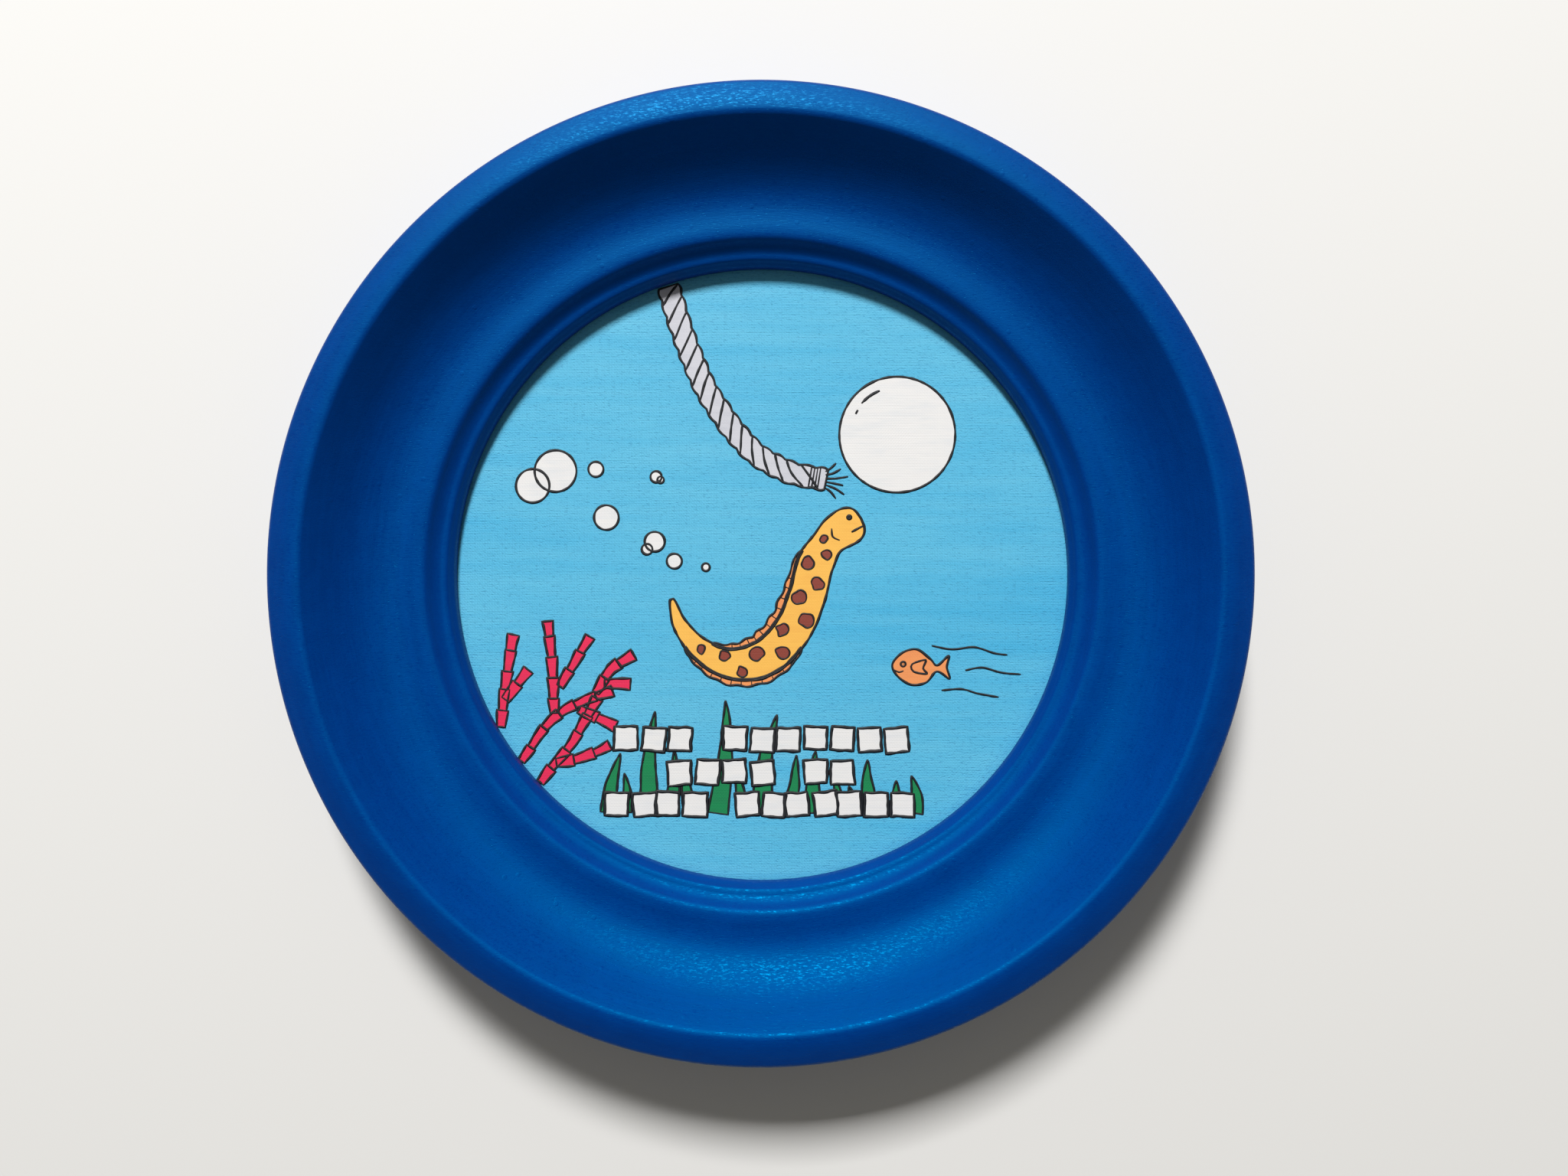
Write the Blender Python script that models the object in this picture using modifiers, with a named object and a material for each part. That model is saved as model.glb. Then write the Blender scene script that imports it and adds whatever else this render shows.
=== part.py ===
"""A round scoop picture frame, turned in wood, with a stretched canvas panel held in its back.

The frame lies on its back: +Z is the way the picture faces, +Y is the way up when it hangs, and the
origin is on the frame's axis, in the plane of the pads that it rests on.
"""

import math

import bmesh
import bpy
from mathutils import Matrix, Vector

MM = 0.001
CONTACT_GAP = 0.3 * MM
MERGE = 0.00001

# The turned moulding, as (radius, height) where its section turns.
OUTER_RADIUS = 152.4 * MM
PAD_THICKNESS = 3.2 * MM
BACK_Z = PAD_THICKNESS + CONTACT_GAP
BACK_EDGE = 1.0 * MM
SIDE_TOP_Z = 36.6 * MM
SHOULDER = (151.0 * MM, 38.4 * MM)
RIM_CREST = (142.9 * MM, 40.2 * MM)
SIGHT_RADIUS = 101.0 * MM
SIGHT_TOP_Z = 13.0 * MM
LIP_UNDER_Z = 9.9 * MM

# The front of the moulding from the sight edge out: radius, height, slope in degrees, steps to get there.
FRONT_TURNS = (
    (101.9 * MM, 14.9 * MM, 56, 2),
    (102.9 * MM, 16.35 * MM, 30, 1),
    (104.1 * MM, 16.8 * MM, 15, 1),
    (105.1 * MM, 17.2 * MM, 30, 1),
    (106.6 * MM, 18.4 * MM, 47, 1),
    (107.7 * MM, 19.85 * MM, 57, 1),
    (108.7 * MM, 20.9 * MM, 31, 1),
    (109.6 * MM, 21.25 * MM, 14, 1),
    (112.8 * MM, 21.5 * MM, -1, 2),
    (118.2 * MM, 21.77 * MM, 9, 2),
    (126.0 * MM, 24.73 * MM, 31, 3),
    (133.9 * MM, 31.35 * MM, 48, 3),
    (139.8 * MM, 38.2 * MM, 50, 2),
)
RABBET_RADIUS = 102.9 * MM
RING_STEPS = 72

# The picture, from its face to the back board, each layer clear of the next by the contact gap.
CLOTH_THICKNESS = 0.4 * MM
CANVAS_FACE_Z = LIP_UNDER_Z - CONTACT_GAP
CANVAS_RADIUS = 102.0 * MM
HEM_WIDTH = 15.0 * MM
BOARD_THICKNESS = 1.6 * MM
BOARD_RADIUS = CANVAS_RADIUS - CLOTH_THICKNESS - CONTACT_GAP
BOARD_TOP_Z = CANVAS_FACE_Z - CLOTH_THICKNESS - CONTACT_GAP
HEM_TOP_Z = BOARD_TOP_Z - BOARD_THICKNESS - CONTACT_GAP
PAPER_THICKNESS = 0.3 * MM
PAPER_RADIUS = 99.5 * MM
PAPER_TOP_Z = HEM_TOP_Z - CLOTH_THICKNESS - CONTACT_GAP
BACKING_THICKNESS = 2.0 * MM
BACKING_RADIUS = 102.3 * MM
BACKING_TOP_Z = PAPER_TOP_Z - PAPER_THICKNESS - CONTACT_GAP
PANEL_STEPS = 72

# The turn buttons and their screws, on the diagonals.
DIAGONALS = [math.radians(45 + 90 * quarter) for quarter in range(4)]
BUTTON_AXIS_RADIUS = 112.0 * MM
BUTTON_THICKNESS = 1.2 * MM
BUTTON_TOP_Z = BACK_Z - CONTACT_GAP
BUTTON_END_RADIUS = 4.6 * MM
BUTTON_TIP_RADIUS = 3.2 * MM
BUTTON_TIP_REACH = 17.2 * MM
BUTTON_HOLE_RADIUS = 1.8 * MM
BUTTON_EDGE = 0.2 * MM
SCREW_SHANK_RADIUS = 1.45 * MM
SCREW_HEAD_RADIUS = 3.0 * MM
SCREW_HEAD_THICKNESS = 1.4 * MM
SCREW_LENGTH = 9.5 * MM
SCREW_POINT = 2.5 * MM
SCREW_PILOT_RADIUS = 1.8 * MM
SCREW_RECESS_LENGTH = 3.2 * MM
SCREW_RECESS_WIDTH = 0.7 * MM
SCREW_RECESS_DEPTH = 0.7 * MM
SCREW_RECESS_TURN = math.radians(7)

# The sawtooth hanger and its two nails, at the top of the back.
HANGER_Y = 131.0 * MM
HANGER_THICKNESS = 0.8 * MM
HANGER_WIDTH = 9.0 * MM
HANGER_HALF_LENGTH = 23.0 * MM
HANGER_RAMP_OUTER = 14.5 * MM
HANGER_RAMP_INNER = 12.0 * MM
HANGER_RISE = 1.5 * MM
TOOTH_COUNT = 9
TOOTH_PITCH = 2.4 * MM
TOOTH_DEPTH = 1.6 * MM
NAIL_X = 19.0 * MM
NAIL_SHANK_RADIUS = 0.7 * MM
NAIL_HOLE_RADIUS = 1.0 * MM
NAIL_HEAD_RADIUS = 1.8 * MM
NAIL_HEAD_THICKNESS = 0.8 * MM
NAIL_LENGTH = 10.0 * MM
NAIL_POINT = 2.0 * MM

# The bumper pads that the frame rests on.
PAD_AXIS_RADIUS = 143.0 * MM
PAD_RADIUS = 6.0 * MM
PAD_EDGE = 0.5 * MM


def clear_scene():
    """Remove whatever the file holds, so that only this model is left."""
    for item in list(bpy.data.objects):
        bpy.data.objects.remove(item, do_unlink=True)


def make_collection(name):
    """Add a collection to the scene."""
    collection = bpy.data.collections.new(name)
    bpy.context.scene.collection.children.link(collection)
    return collection


def make_material(name, colour, roughness, metallic=0.0):
    """Make a plain Principled material."""
    material = bpy.data.materials.new(name)
    material.use_nodes = True
    shader = material.node_tree.nodes["Principled BSDF"]
    shader.inputs["Base Color"].default_value = (*colour, 1.0)
    shader.inputs["Roughness"].default_value = roughness
    shader.inputs["Metallic"].default_value = metallic
    return material


def place(item, collection, material):
    """Put an object in its collection and give it its material."""
    for owner in list(item.users_collection):
        owner.objects.unlink(item)
    collection.objects.link(item)
    item.data.materials.clear()
    item.data.materials.append(material)
    return item


def shade_round(mesh, angle=30.0):
    """Shade a mesh smooth, with its real corners kept sharp."""
    mesh.shade_smooth()
    mesh.set_sharp_from_angle(angle=math.radians(angle))


def curve_run(start, start_direction, end, end_direction, steps):
    """Points of a cubic run between two places, each given with its direction of travel in degrees."""
    reach = math.dist(start, end) / 3.0
    leave = math.radians(start_direction)
    arrive = math.radians(end_direction)
    handle_a = (start[0] + reach * math.cos(leave), start[1] + reach * math.sin(leave))
    handle_b = (end[0] - reach * math.cos(arrive), end[1] - reach * math.sin(arrive))
    points = []
    for step in range(1, steps + 1):
        t = step / steps
        weights = ((1 - t) ** 3, 3 * t * (1 - t) ** 2, 3 * t * t * (1 - t), t ** 3)
        controls = (start, handle_a, handle_b, end)
        points.append(tuple(sum(w * p[axis] for w, p in zip(weights, controls)) for axis in (0, 1)))
    return points


def turned_object(name, profile, steps, closed):
    """Turn a section round the Z axis with a Screw modifier. The profile runs down its outer side."""
    mesh = bpy.data.meshes.new(name)
    edges = [(index, index + 1) for index in range(len(profile) - 1)]
    if closed:
        edges.append((len(profile) - 1, 0))
    mesh.from_pydata([(radius, 0.0, height) for radius, height in profile], edges, [])
    item = bpy.data.objects.new(name, mesh)
    screw = item.modifiers.new("turn", "SCREW")
    screw.axis = "Z"
    screw.steps = steps
    screw.render_steps = steps
    screw.use_merge_vertices = True
    screw.merge_threshold = MERGE
    screw.use_smooth_shade = True
    return item


def cylinder_object(name, radius, low_z, high_z, steps):
    """A plain upright cylinder, with its origin on its axis at z = 0."""
    mesh = bpy.data.meshes.new(name)
    shape = bmesh.new()
    lift = Matrix.Translation((0.0, 0.0, (low_z + high_z) / 2.0))
    bmesh.ops.create_cone(
        shape,
        cap_ends=True,
        segments=steps,
        radius1=radius,
        radius2=radius,
        depth=high_z - low_z,
        matrix=lift,
    )
    shape.to_mesh(mesh)
    shape.free()
    return bpy.data.objects.new(name, mesh)


def outline_object(name, points, thickness, matrix):
    """A flat outline with a thickness, as a welded mesh. The matrix turns and moves the curve's XY plane."""
    curve = bpy.data.curves.new(name, "CURVE")
    curve.dimensions = "2D"
    curve.fill_mode = "BOTH"
    curve.extrude = thickness / 2.0
    spline = curve.splines.new("POLY")
    spline.points.add(len(points) - 1)
    for point, (x, y) in zip(spline.points, points):
        point.co = (x, y, 0.0, 1.0)
    spline.use_cyclic_u = True
    source = bpy.data.objects.new(name + "_outline", curve)
    bpy.context.scene.collection.objects.link(source)
    graph = bpy.context.evaluated_depsgraph_get()
    mesh = bpy.data.meshes.new_from_object(source.evaluated_get(graph))
    bpy.data.objects.remove(source, do_unlink=True)
    shape = bmesh.new()
    shape.from_mesh(mesh)
    bmesh.ops.remove_doubles(shape, verts=shape.verts, dist=MERGE)
    bmesh.ops.transform(shape, matrix=matrix, verts=shape.verts)
    bmesh.ops.recalc_face_normals(shape, faces=shape.faces)
    shape.to_mesh(mesh)
    shape.free()
    mesh.name = name
    return bpy.data.objects.new(name, mesh)


def hide_cutter(cutter, cutters):
    """Keep a cutting shape out of the model."""
    cutters.objects.link(cutter)
    cutter.hide_render = True
    cutter.display_type = "WIRE"
    return cutter


def cut(item, cutter):
    """Take a cutting shape out of an object."""
    boolean = item.modifiers.new(cutter.name, "BOOLEAN")
    boolean.operation = "DIFFERENCE"
    boolean.solver = "EXACT"
    boolean.object = cutter


def on_circle(radius, angle):
    """The place at a radius and an angle about the frame's axis."""
    return (radius * math.cos(angle), radius * math.sin(angle), 0.0)


def moulding_profile():
    """The frame's section: crest, outer band, side, back, rabbet, lip, bead, step, hump and scoop."""
    profile = [RIM_CREST]
    profile += curve_run(RIM_CREST, 0, SHOULDER, -18, 5)
    profile += curve_run(SHOULDER, -18, (OUTER_RADIUS, SIDE_TOP_Z), -90, 4)
    profile += [(OUTER_RADIUS, BACK_Z + BACK_EDGE)]
    profile += curve_run((OUTER_RADIUS, BACK_Z + BACK_EDGE), -90, (OUTER_RADIUS - BACK_EDGE, BACK_Z), -180, 2)
    profile += [(RABBET_RADIUS, BACK_Z), (RABBET_RADIUS, LIP_UNDER_Z), (SIGHT_RADIUS, LIP_UNDER_Z)]
    profile += [(SIGHT_RADIUS, SIGHT_TOP_Z)]
    slope = 90
    for radius, height, turn_slope, steps in FRONT_TURNS:
        profile += curve_run(profile[-1], slope, (radius, height), turn_slope, steps)
        slope = turn_slope
    profile += curve_run(profile[-1], slope, RIM_CREST, 0, 3)[:-1]
    return profile


def make_frame_ring(parts, cutters, material):
    """The turned wooden ring, with pilot holes in its back for the screws and the nails."""
    ring = turned_object("frame_ring", moulding_profile(), RING_STEPS, closed=True)
    place(ring, parts, material)
    depth = BACK_Z + SCREW_LENGTH + CONTACT_GAP
    for number, angle in enumerate(DIAGONALS, 1):
        pilot = cylinder_object("screw_pilot_%d" % number, SCREW_PILOT_RADIUS, 0.0, depth, 12)
        pilot.location = on_circle(BUTTON_AXIS_RADIUS, angle)
        cut(ring, hide_cutter(pilot, cutters))
    depth = BACK_Z + NAIL_LENGTH + CONTACT_GAP
    for side, x in (("left", -NAIL_X), ("right", NAIL_X)):
        pilot = cylinder_object("nail_pilot_" + side, NAIL_HOLE_RADIUS, 0.0, depth, 10)
        pilot.location = (x, HANGER_Y, 0.0)
        cut(ring, hide_cutter(pilot, cutters))


def make_canvas(parts, material):
    """The cloth: a face, a wall round the board's edge and a hem turned in behind it."""
    inner_radius = CANVAS_RADIUS - CLOTH_THICKNESS
    hem_radius = CANVAS_RADIUS - HEM_WIDTH
    profile = [
        (0.0, CANVAS_FACE_Z),
        (CANVAS_RADIUS, CANVAS_FACE_Z),
        (CANVAS_RADIUS, HEM_TOP_Z - CLOTH_THICKNESS),
        (hem_radius, HEM_TOP_Z - CLOTH_THICKNESS),
        (hem_radius, HEM_TOP_Z),
        (inner_radius, HEM_TOP_Z),
        (inner_radius, CANVAS_FACE_Z - CLOTH_THICKNESS),
        (0.0, CANVAS_FACE_Z - CLOTH_THICKNESS),
    ]
    canvas = turned_object("canvas", profile, PANEL_STEPS, closed=False)
    place(canvas, parts, material)


def make_sheet(name, radius, top_z, thickness, parts, material):
    """A flat round sheet or board."""
    sheet = cylinder_object(name, radius, top_z - thickness, top_z, PANEL_STEPS)
    shade_round(sheet.data)
    place(sheet, parts, material)


def arc_points(centre_x, radius, start, end, steps):
    """Points along an arc about a centre on the X axis."""
    angles = [start + (end - start) * step / steps for step in range(steps + 1)]
    return [(centre_x + radius * math.cos(angle), radius * math.sin(angle)) for angle in angles]


def button_outline():
    """A tapered tab: a wide round end about the screw and a narrower round tip, tangent lines between."""
    lean = math.asin((BUTTON_END_RADIUS - BUTTON_TIP_RADIUS) / BUTTON_TIP_REACH)
    tangent = math.pi / 2.0 - lean
    tip = arc_points(BUTTON_TIP_REACH, BUTTON_TIP_RADIUS, -tangent, tangent, 8)
    end = arc_points(0.0, BUTTON_END_RADIUS, tangent, 2.0 * math.pi - tangent, 12)
    return tip + end


def make_turn_buttons(parts, cutters, material):
    """Four flat steel tabs, each free to turn about its own screw and resting with its tip inwards."""
    middle = BUTTON_TOP_Z - BUTTON_THICKNESS / 2.0
    for number, angle in enumerate(DIAGONALS, 1):
        name = "turn_button_%d" % number
        button = outline_object(name, button_outline(), BUTTON_THICKNESS, Matrix.Translation((0, 0, middle)))
        place(button, parts, material)
        button.location = on_circle(BUTTON_AXIS_RADIUS, angle)
        button.rotation_euler = (0.0, 0.0, angle + math.pi)
        edge = button.modifiers.new("edge", "BEVEL")
        edge.width = BUTTON_EDGE
        edge.segments = 1
        edge.limit_method = "ANGLE"
        edge.angle_limit = math.radians(60)
        hole = cylinder_object(name + "_hole", BUTTON_HOLE_RADIUS, 0.0, BACK_Z, 16)
        hole.location = button.location
        cut(button, hide_cutter(hole, cutters))


def screw_profile():
    """A pan-head wood screw, point up: the point, the shank and a domed head."""
    top = BACK_Z + SCREW_LENGTH
    under_head = BUTTON_TOP_Z - BUTTON_THICKNESS - CONTACT_GAP
    head_low = under_head - SCREW_HEAD_THICKNESS
    dome_start = (SCREW_HEAD_RADIUS, under_head - SCREW_HEAD_THICKNESS * 0.35)
    profile = [(0.0, top), (SCREW_SHANK_RADIUS, top - SCREW_POINT), (SCREW_SHANK_RADIUS, under_head)]
    profile += [(SCREW_HEAD_RADIUS, under_head), dome_start]
    profile += curve_run(dome_start, -90, (SCREW_HEAD_RADIUS * 0.55, head_low), 180, 3)
    profile += [(0.0, head_low)]
    return profile, head_low


def recess_outline():
    """The plus-shaped recess of a screw head."""
    long = SCREW_RECESS_LENGTH / 2.0
    short = SCREW_RECESS_WIDTH / 2.0
    points = []
    for quarter in range(4):
        turn = Matrix.Rotation(quarter * math.pi / 2.0, 2)
        for corner in ((long, -short), (long, short), (short, short)):
            points.append(tuple(turn @ Vector(corner)))
    return points


def make_button_screws(parts, cutters, material):
    """The screws on which the turn buttons swing, with a crossed recess in each head."""
    profile, head_low = screw_profile()
    for number, angle in enumerate(DIAGONALS, 1):
        name = "turn_button_screw_%d" % number
        screw = turned_object(name, profile, 20, closed=False)
        place(screw, parts, material)
        screw.location = on_circle(BUTTON_AXIS_RADIUS, angle)
        level = Matrix.Translation((0.0, 0.0, head_low))
        recess = outline_object(name + "_recess", recess_outline(), 2.0 * SCREW_RECESS_DEPTH, level)
        recess.location = screw.location
        recess.rotation_euler = (0.0, 0.0, angle + SCREW_RECESS_TURN)
        cut(screw, hide_cutter(recess, cutters))


def hanger_section():
    """The hanger's strip seen from its edge: flat ends against the frame and a raised middle."""
    flat_top = BACK_Z - CONTACT_GAP
    upper = [
        (HANGER_HALF_LENGTH, flat_top),
        (HANGER_RAMP_OUTER, flat_top),
        (HANGER_RAMP_INNER, flat_top - HANGER_RISE),
    ]
    right = upper + [(x, z - HANGER_THICKNESS) for x, z in reversed(upper)]
    left = [(-x, z) for x, z in reversed(upper)] + [(-x, z - HANGER_THICKNESS) for x, z in upper]
    return upper + left + right[3:]


def sawtooth_outline():
    """The zigzag that leaves the teeth: it bites into the strip's lower edge between them."""
    low = -HANGER_WIDTH
    edge = -HANGER_WIDTH / 2.0
    start = -TOOTH_COUNT * TOOTH_PITCH / 2.0
    points = [(start, low), (-start, low)]
    for tooth in range(TOOTH_COUNT, 0, -1):
        x = start + tooth * TOOTH_PITCH
        points += [(x, edge - CONTACT_GAP), (x - TOOTH_PITCH / 2.0, edge + TOOTH_DEPTH)]
    points.append((start, edge - CONTACT_GAP))
    return points


def make_hanger(parts, cutters, material):
    """The stamped steel sawtooth hanger. Its toothed edge faces down the wall."""
    stand = Matrix.Rotation(math.pi / 2.0, 4, "X")
    hanger = outline_object("sawtooth_hanger", hanger_section(), HANGER_WIDTH, stand)
    place(hanger, parts, material)
    hanger.location = (0.0, HANGER_Y, 0.0)
    teeth = outline_object("hanger_teeth", sawtooth_outline(), 2.0 * BACK_Z, Matrix.Identity(4))
    teeth.location = hanger.location
    cut(hanger, hide_cutter(teeth, cutters))
    for side, x in (("left", -NAIL_X), ("right", NAIL_X)):
        hole = cylinder_object("hanger_hole_" + side, NAIL_HOLE_RADIUS, 0.0, BACK_Z, 12)
        hole.location = (x, HANGER_Y, 0.0)
        cut(hanger, hide_cutter(hole, cutters))


def make_nails(parts, material):
    """The two flat-headed nails that hold the hanger."""
    top = BACK_Z + NAIL_LENGTH
    under_head = BACK_Z - HANGER_THICKNESS - 2.0 * CONTACT_GAP
    head_low = under_head - NAIL_HEAD_THICKNESS
    profile = [
        (0.0, top),
        (NAIL_SHANK_RADIUS, top - NAIL_POINT),
        (NAIL_SHANK_RADIUS, under_head),
        (NAIL_HEAD_RADIUS, under_head),
        (NAIL_HEAD_RADIUS, head_low),
        (0.0, head_low),
    ]
    for side, x in (("left", -NAIL_X), ("right", NAIL_X)):
        nail = turned_object("hanger_nail_" + side, profile, 12, closed=False)
        place(nail, parts, material)
        nail.location = (x, HANGER_Y, 0.0)


def make_pads(parts, material):
    """Four round stick-on bumper pads, near the outer edge of the back."""
    for number, angle in enumerate(DIAGONALS, 1):
        pad = cylinder_object("bumper_pad_%d" % number, PAD_RADIUS, 0.0, PAD_THICKNESS, 24)
        place(pad, parts, material)
        pad.location = on_circle(PAD_AXIS_RADIUS, angle)
        edge = pad.modifiers.new("edge", "BEVEL")
        edge.width = PAD_EDGE
        edge.segments = 1
        edge.limit_method = "ANGLE"
        edge.angle_limit = math.radians(60)


def build():
    """Build the frame, the picture and what holds it, piece by piece."""
    clear_scene()
    parts = make_collection("round_picture_frame")
    cutters = make_collection("cutters")
    blue_paint = make_material("blue_paint", (0.001, 0.065, 0.33), 0.35)
    painted_cloth = make_material("painted_cloth", (0.10, 0.47, 0.74), 0.75)
    grey_board = make_material("grey_board", (0.45, 0.43, 0.39), 0.85)
    white_paper = make_material("white_paper", (0.74, 0.72, 0.66), 0.85)
    brown_board = make_material("brown_board", (0.25, 0.14, 0.07), 0.7)
    zinc_plate = make_material("zinc_plate", (0.62, 0.63, 0.65), 0.35, metallic=1.0)
    brass_plate = make_material("brass_plate", (0.72, 0.53, 0.24), 0.3, metallic=1.0)
    pad_rubber = make_material("pad_rubber", (0.03, 0.03, 0.03), 0.9)
    make_frame_ring(parts, cutters, blue_paint)
    make_canvas(parts, painted_cloth)
    make_sheet("panel_board", BOARD_RADIUS, BOARD_TOP_Z, BOARD_THICKNESS, parts, grey_board)
    make_sheet("panel_paper", PAPER_RADIUS, PAPER_TOP_Z, PAPER_THICKNESS, parts, white_paper)
    make_sheet("backing_board", BACKING_RADIUS, BACKING_TOP_Z, BACKING_THICKNESS, parts, brown_board)
    make_turn_buttons(parts, cutters, zinc_plate)
    make_button_screws(parts, cutters, zinc_plate)
    make_hanger(parts, cutters, brass_plate)
    make_nails(parts, brass_plate)
    make_pads(parts, pad_rubber)


build()
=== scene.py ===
"""A round scoop picture frame with a painted canvas panel, finished round its fixed model."""

import math
import random

import bpy
from mathutils import Matrix, Vector, noise


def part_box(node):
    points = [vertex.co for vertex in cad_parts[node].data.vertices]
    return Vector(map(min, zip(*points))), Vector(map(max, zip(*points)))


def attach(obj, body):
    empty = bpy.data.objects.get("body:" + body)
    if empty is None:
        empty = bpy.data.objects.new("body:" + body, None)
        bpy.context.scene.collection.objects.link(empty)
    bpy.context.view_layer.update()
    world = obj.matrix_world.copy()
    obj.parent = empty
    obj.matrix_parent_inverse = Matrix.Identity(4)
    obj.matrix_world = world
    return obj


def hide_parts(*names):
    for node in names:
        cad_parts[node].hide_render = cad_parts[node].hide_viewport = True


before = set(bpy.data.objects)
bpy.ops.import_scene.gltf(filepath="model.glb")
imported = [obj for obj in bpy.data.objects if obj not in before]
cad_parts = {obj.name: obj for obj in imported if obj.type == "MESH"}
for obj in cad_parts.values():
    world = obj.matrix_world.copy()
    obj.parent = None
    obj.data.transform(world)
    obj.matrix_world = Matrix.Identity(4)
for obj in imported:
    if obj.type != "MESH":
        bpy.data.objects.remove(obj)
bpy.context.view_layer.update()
MM = 0.001

# ---- The camera -------------------------------------------------------------------------------
# The frame lies on its back and is seen from almost straight above, from a little below its middle.
CAMERA_PLACE = Vector((0.0105, -0.0044, 0.4005))
CAMERA_AIM = Vector((0.00735, -0.0044, 0.0))
CAMERA_LENS = 27.07

camera_data = bpy.data.cameras.new("camera")
camera_data.lens = CAMERA_LENS
camera_data.sensor_width = 36.0
camera_data.clip_start = 0.01
camera = bpy.data.objects.new("camera", camera_data)
bpy.context.scene.collection.objects.link(camera)
look = (CAMERA_AIM - CAMERA_PLACE).normalized()
across = look.cross(Vector((0.0, 1.0, 0.0))).normalized()
upright = Matrix((across, across.cross(look), -look)).transposed()
camera.matrix_world = Matrix.Translation(CAMERA_PLACE) @ upright.to_4x4()
bpy.context.scene.camera = camera

# ---- The light and the floor ------------------------------------------------------------------
# One window-like lamp above and beyond the top of the picture, a pale even room, a pale plain floor.
LAMP_DISTANCE = 3.0
LAMP_BEARING = math.radians(99.0)
LAMP_HEIGHT = math.radians(45.0)
LAMP_SIZE = 0.6
LAMP_POWER = 118.0
ROOM_LIGHT = 0.15

lamp_data = bpy.data.lights.new("window", "AREA")
lamp_data.shape = "SQUARE"
lamp_data.size = LAMP_SIZE
lamp_data.energy = LAMP_POWER
lamp = bpy.data.objects.new("window", lamp_data)
bpy.context.scene.collection.objects.link(lamp)
lamp.location = LAMP_DISTANCE * Vector((
    math.cos(LAMP_HEIGHT) * math.cos(LAMP_BEARING),
    math.cos(LAMP_HEIGHT) * math.sin(LAMP_BEARING),
    math.sin(LAMP_HEIGHT),
))
lamp.rotation_euler = (-lamp.location).to_track_quat("-Z", "Y").to_euler()

room = bpy.data.worlds.new("room")
bpy.context.scene.world = room
room.use_nodes = True
room.node_tree.nodes["Background"].inputs["Color"].default_value = (1.0, 0.97, 0.87, 1.0)
room.node_tree.nodes["Background"].inputs["Strength"].default_value = ROOM_LIGHT
bpy.context.scene.view_settings.view_transform = "Standard"

bpy.ops.object.select_all(action="DESELECT")
bpy.ops.mesh.primitive_plane_add(size=6.0, location=(0.0, 0.0, 0.0))
floor = bpy.context.object
floor.name = "floor"
floor_finish = bpy.data.materials.new("pale_floor")
floor_finish.use_nodes = True
floor_finish.node_tree.nodes["Principled BSDF"].inputs["Base Color"].default_value = (0.80, 0.79, 0.77, 1.0)
floor_finish.node_tree.nodes["Principled BSDF"].inputs["Roughness"].default_value = 0.9
floor.data.materials.append(floor_finish)


# ---- The turned wooden ring -------------------------------------------------------------------
# One ring turned in pale wood, brushed over its front and side with satin blue paint that shows the
# brush and the grain. Its back and the rabbet for the picture stay bare, with some paint run over.
class Tone:
    """One socket of a material's node tree. Sums written with it add Math nodes."""

    def __init__(self, tree, socket):
        self.tree = tree
        self.socket = socket

    def node(self, kind, settings, inputs, output=0):
        """Add a node, set it up, then give its sockets their values or links."""
        made = self.tree.nodes.new(kind)
        for name, value in settings.items():
            setattr(made, name, value)
        for name, value in inputs.items():
            if isinstance(value, Tone):
                self.tree.links.new(value.socket, made.inputs[name])
            else:
                made.inputs[name].default_value = value
        return Tone(self.tree, made.outputs[output])

    def maths(self, operation, *values):
        return self.node("ShaderNodeMath", {"operation": operation}, dict(enumerate(values)))

    def __add__(self, other):
        return self.maths("ADD", self, other)

    def __sub__(self, other):
        return self.maths("SUBTRACT", self, other)

    def __rsub__(self, other):
        return self.maths("SUBTRACT", other, self)

    def __mul__(self, other):
        return self.maths("MULTIPLY", self, other)

    def __truediv__(self, other):
        return self.maths("DIVIDE", self, other)

    def __pow__(self, other):
        return self.maths("POWER", self, other)

    __radd__ = __add__
    __rmul__ = __mul__

    def part(self, axis):
        """One component of a vector."""
        return self.node("ShaderNodeSeparateXYZ", {}, {0: self}, "XYZ".index(axis))

    def stretched(self, x, y, z):
        """A vector multiplied component by component."""
        return self.node("ShaderNodeVectorMath", {"operation": "MULTIPLY"}, {0: self, 1: (x, y, z)})

    def packed(self, x, y, z):
        """A vector made of three values."""
        return self.node("ShaderNodeCombineXYZ", {}, {0: x, 1: y, 2: z})

    def noise(self, scale=1.0, detail=2.0, roughness=0.5):
        """Soft noise from 0 to 1, read at this vector."""
        inputs = {"Vector": self, "Scale": scale, "Detail": detail, "Roughness": roughness}
        return self.node("ShaderNodeTexNoise", {}, inputs)

    def between(self, low, high, to_low=0.0, to_high=1.0):
        """A value taken from one range to another, smoothly and held at its ends."""
        settings = {"interpolation_type": "SMOOTHSTEP"}
        return self.node("ShaderNodeMapRange", settings, {0: self, 1: low, 2: high, 3: to_low, 4: to_high})

    def mixed(self, first, second):
        """The first colour where this value is 0, and the second where it is 1."""
        settings = {"data_type": "RGBA"}
        return self.node("ShaderNodeMix", settings, {0: self, 6: first, 7: second}, 2)


def start_finish(name, roughness):
    """A material with its shader and the coordinates of the piece it is on."""
    material = bpy.data.materials.new(name)
    material.use_nodes = True
    shader = material.node_tree.nodes["Principled BSDF"]
    shader.inputs["Roughness"].default_value = roughness
    coordinates = material.node_tree.nodes.new("ShaderNodeTexCoord")
    return material, shader, Tone(material.node_tree, coordinates.outputs["Object"])


def feed(shader, socket, value):
    """Link a value to one of the shader's sockets."""
    value.tree.links.new(value.socket, shader.inputs[socket])


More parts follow.
